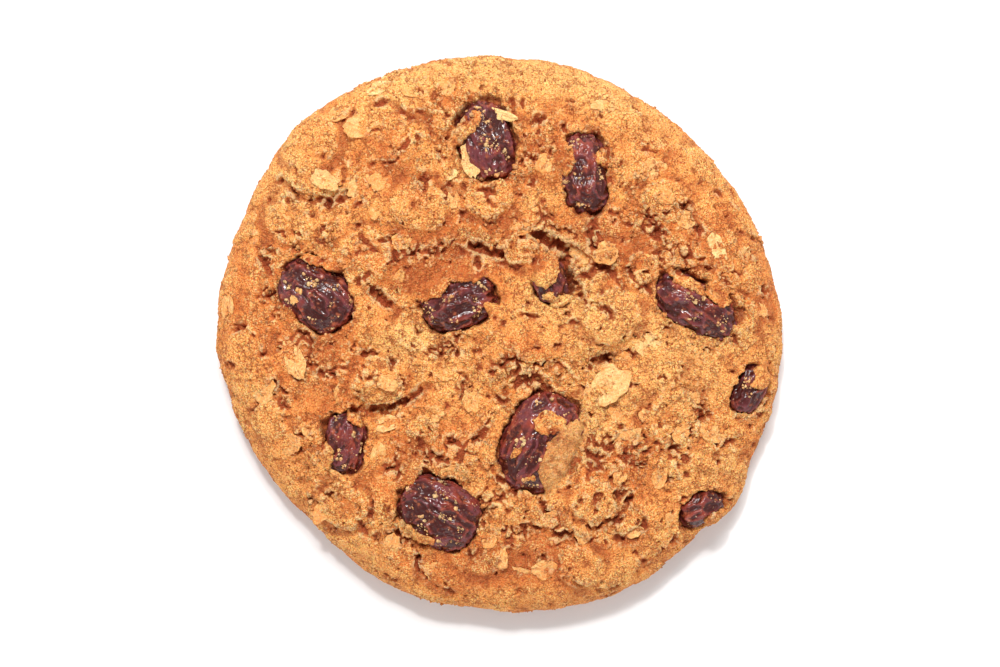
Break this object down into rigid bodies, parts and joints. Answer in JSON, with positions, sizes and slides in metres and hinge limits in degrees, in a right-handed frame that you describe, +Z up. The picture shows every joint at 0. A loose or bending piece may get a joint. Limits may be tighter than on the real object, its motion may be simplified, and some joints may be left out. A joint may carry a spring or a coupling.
{
  "type": "oatmeal raisin cookie",
  "caption": "Round, domed, baked oatmeal cookie with a lumpy cracked top, raisins set in pockets in it and a flat underside.",
  "frame": {"origin": "middle of the flat underside, where the cookie rests on its tray or plate", "axes": "+Z up through the dome, across the cookie's thickness; +X and +Y lie in the underside"},
  "size_m": [0.0902, 0.0887, 0.015],
  "materials": {
    "baked_dough": "matt baked crumb, golden brown, rough and porous",
    "raisin_skin": "satin wrinkled fruit skin, very dark purple brown",
    "oat_flake": "matt rolled oat, pale straw"
  },
  "bodies": {
    "root": {"dough": "baked_dough", "raisin_01": "raisin_skin", "raisin_02": "raisin_skin", "raisin_03": "raisin_skin", "raisin_04": "raisin_skin", "raisin_05": "raisin_skin", "raisin_06": "raisin_skin", "raisin_07": "raisin_skin", "raisin_08": "raisin_skin", "raisin_09": "raisin_skin", "raisin_10": "raisin_skin", "raisin_11": "raisin_skin"}
  },
  "joints": []
}
